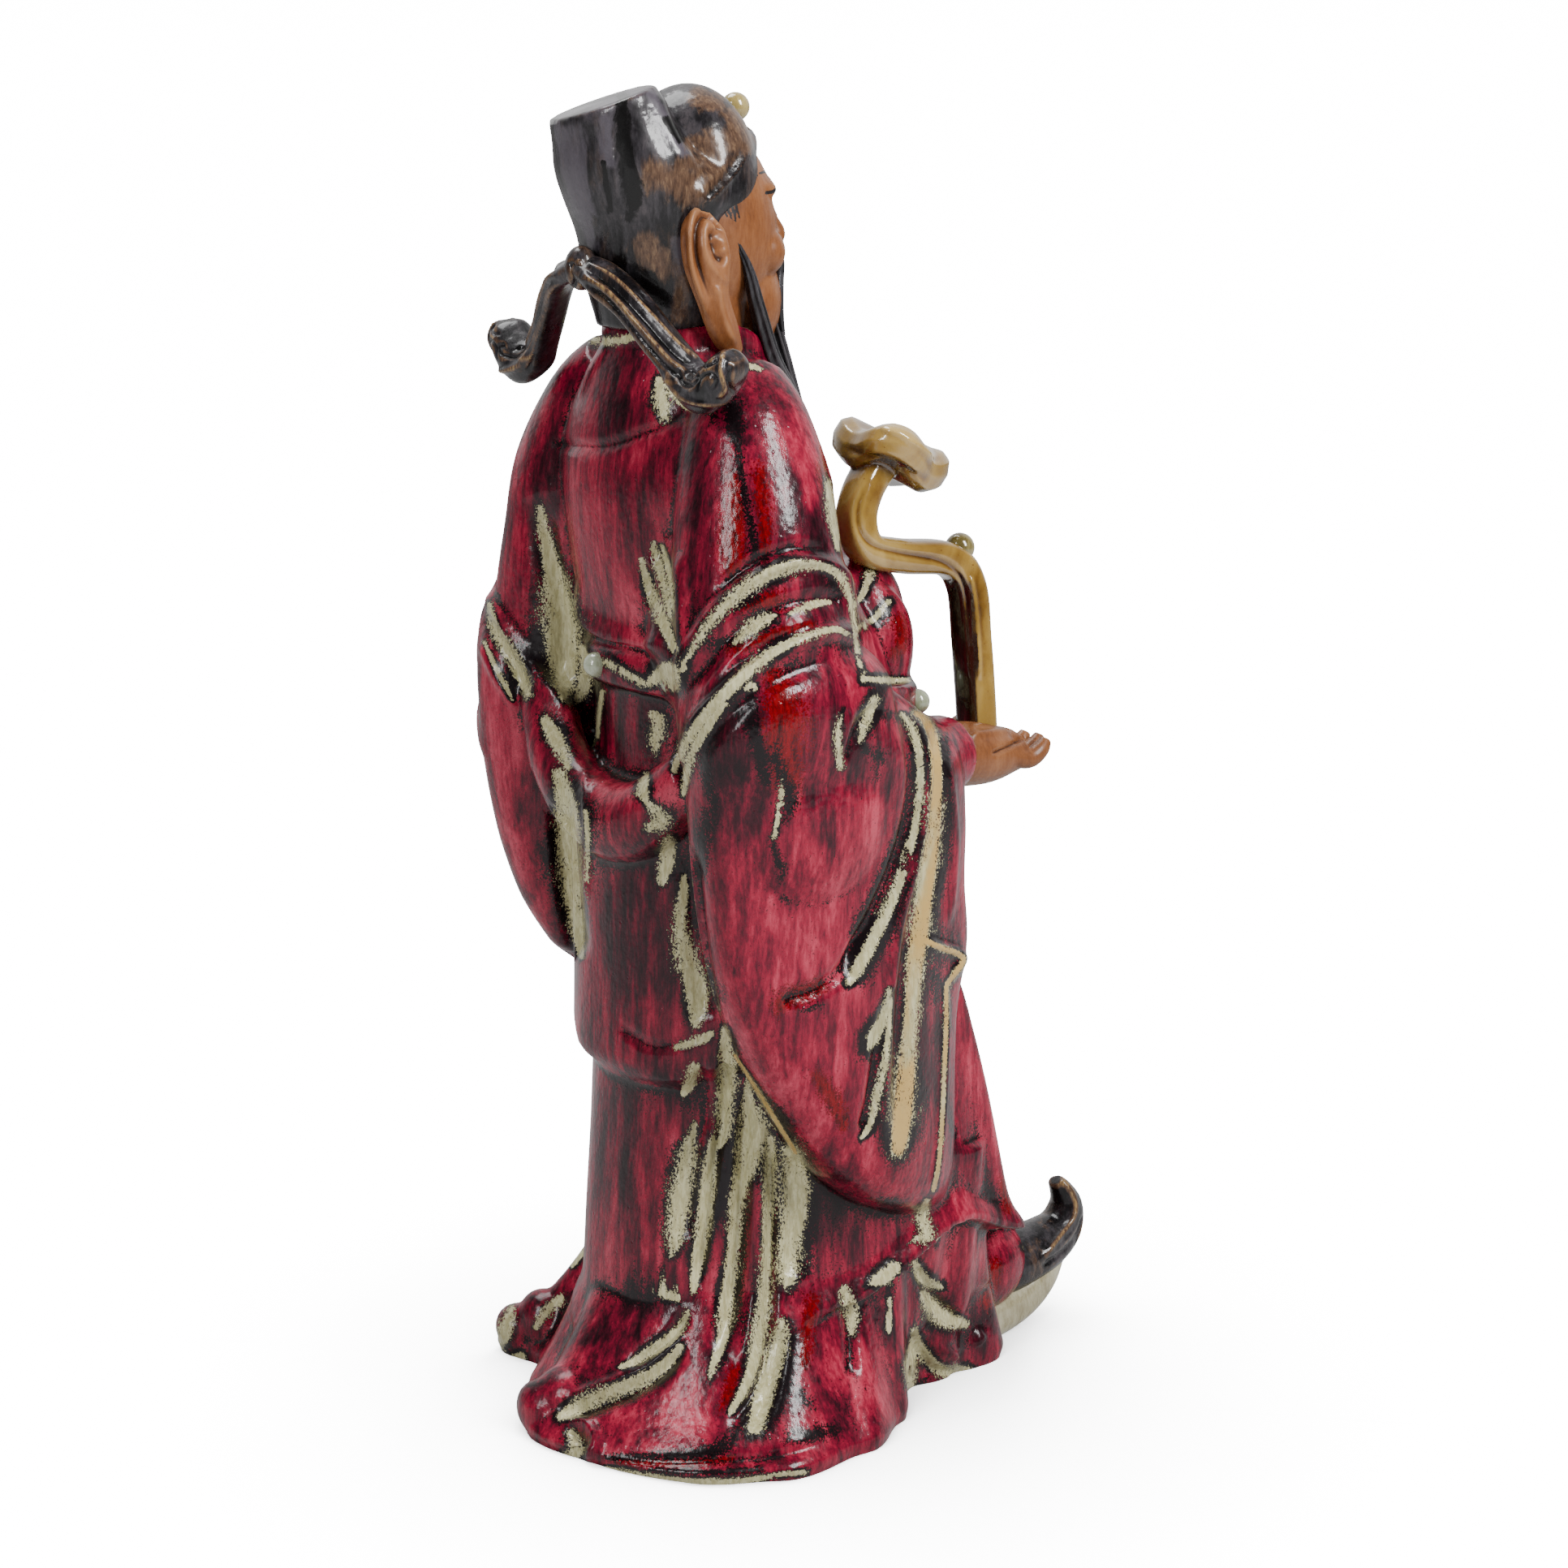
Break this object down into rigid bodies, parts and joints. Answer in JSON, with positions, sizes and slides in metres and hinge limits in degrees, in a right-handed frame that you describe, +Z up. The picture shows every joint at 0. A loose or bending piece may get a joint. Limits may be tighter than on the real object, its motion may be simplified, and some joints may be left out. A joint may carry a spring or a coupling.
{
  "type": "pottery statue",
  "caption": "Glazed pottery figure of a standing robed official with a winged hat, long sleeves and a curved sceptre in one hand.",
  "frame": {"origin": "on the flat underside, below the figure's neck", "axes": "+Z up the figure, which faces -Y; its right hand is towards -X"},
  "size_m": [0.1614, 0.2097, 0.4017],
  "materials": {
    "red_glaze": "glossy mottled copper-red glaze, running to cream in the folds, over bare brown clay at head and hands"
  },
  "bodies": {
    "root": {"figure": "red_glaze"}
  },
  "joints": []
}
